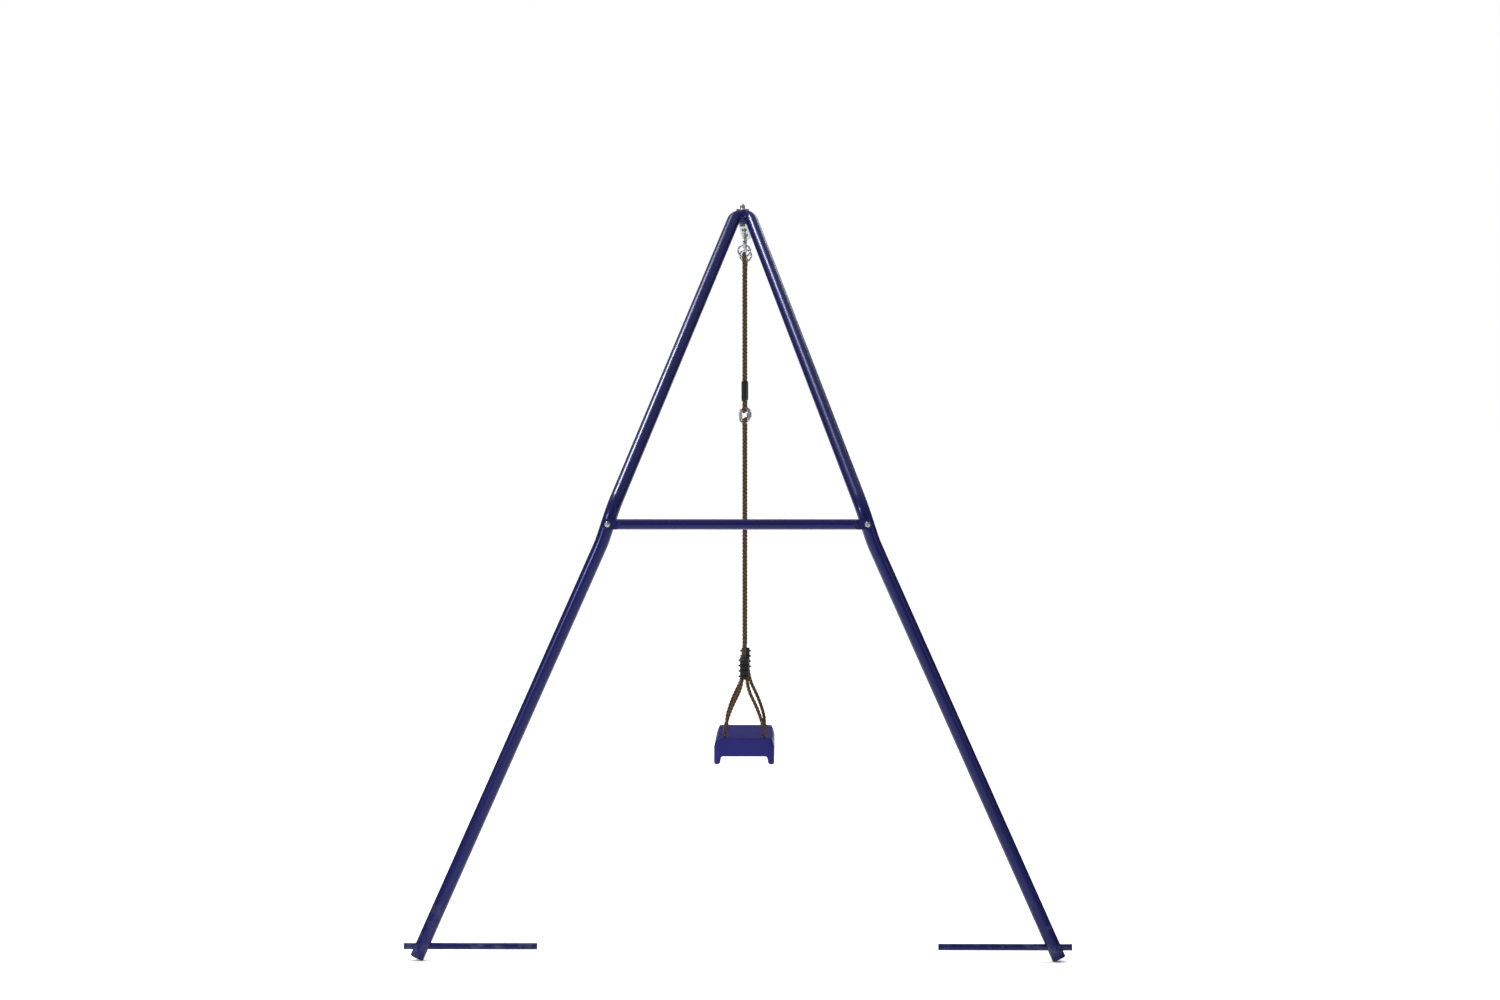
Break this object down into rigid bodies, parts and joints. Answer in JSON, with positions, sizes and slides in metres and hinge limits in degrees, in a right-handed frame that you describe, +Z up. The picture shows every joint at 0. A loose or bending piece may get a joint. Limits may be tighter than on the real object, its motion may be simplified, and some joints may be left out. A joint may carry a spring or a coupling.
{
  "type": "rope swing",
  "caption": "Single flat-seat rope swing on a navy steel A-frame, with a galvanised beam that bolts to a play tower. It swings fore and aft and sways sideways.",
  "frame": {"origin": "on the ground, under the centre of the object's box", "axes": "+Z up, +Y from the A-frame along the beam to the tower, +X to the right as seen from the A-frame"},
  "size_m": [1.802, 2.2204, 2.0936],
  "materials": {
    "navy_powder_coat": "gloss powder coat",
    "dark_plug": "matte moulded",
    "galvanised_beam": "galvanised, dull spangle",
    "zinc_hardware": "zinc plated",
    "brown_rope": "three-strand laid rope",
    "black_sleeve": "moulded, satin",
    "blue_plastic": "semi-gloss moulded"
  },
  "bodies": {
    "frame": {"left_lower_leg": "navy_powder_coat", "right_lower_leg": "navy_powder_coat", "left_upper_leg": "navy_powder_coat", "right_upper_leg": "navy_powder_coat", "left_foot_bar": "navy_powder_coat", "right_foot_bar": "navy_powder_coat", "foot_bar_plugs": "dark_plug", "leg_end_plugs": "dark_plug", "crossbar": "navy_powder_coat", "crossbar_bolts": "zinc_hardware", "crossbar_washers": "zinc_hardware", "crossbar_nuts": "zinc_hardware", "beam_clevis": "galvanised_beam", "beam_tube": "galvanised_beam", "tower_tab": "galvanised_beam", "apex_washers": "zinc_hardware", "apex_bolt": "zinc_hardware", "apex_cap_nut": "zinc_hardware", "apex_spacer": "zinc_hardware", "near_eye_bolt": "zinc_hardware", "far_eye_bolt": "zinc_hardware", "eye_bolt_washers": "zinc_hardware", "eye_bolt_nuts": "zinc_hardware"},
    "top_rings": {"near_top_ring": "zinc_hardware", "far_top_ring": "zinc_hardware"},
    "near_ropes": {"near_thimble": "zinc_hardware", "near_upper_rope": "brown_rope", "near_ferrule": "black_sleeve", "near_link": "zinc_hardware", "near_link_nut": "zinc_hardware", "near_lower_rope": "brown_rope", "near_right_strand": "brown_rope", "near_clamp": "black_sleeve"},
    "far_ropes": {"far_thimble": "zinc_hardware", "far_upper_rope": "brown_rope", "far_ferrule": "black_sleeve", "far_link": "zinc_hardware", "far_link_nut": "zinc_hardware", "far_lower_rope": "brown_rope", "far_right_strand": "brown_rope", "far_clamp": "black_sleeve"},
    "seat": {"seat": "blue_plastic", "near_seat_loop": "brown_rope", "far_seat_loop": "brown_rope"}
  },
  "joints": [
    {"name": "swing", "type": "hinge", "parent": "frame", "child": "top_rings", "pos_m": [0, 0.46525, 1.98], "axis": [0, 1, 0], "range_deg": [-60, 60]},
    {"name": "near_sway", "type": "hinge", "parent": "top_rings", "child": "near_ropes", "pos_m": [0, 0.29025, 1.9503], "axis": [1, 0, 0], "range_deg": [-10, 10]},
    {"name": "far_sway", "type": "hinge", "parent": "top_rings", "child": "far_ropes", "pos_m": [0, 0.64025, 1.9503], "axis": [1, 0, 0], "range_deg": [-10, 10]},
    {"name": "seat_level", "type": "hinge", "parent": "near_ropes", "child": "seat", "pos_m": [0, 0.29025, 0.446], "axis": [1, 0, 0], "range_deg": [-10, 10]}
  ],
  "couplings": [
    {"joint": "far_sway", "follows": "near_sway", "ratio": 1},
    {"joint": "seat_level", "follows": "near_sway", "ratio": -1}
  ]
}
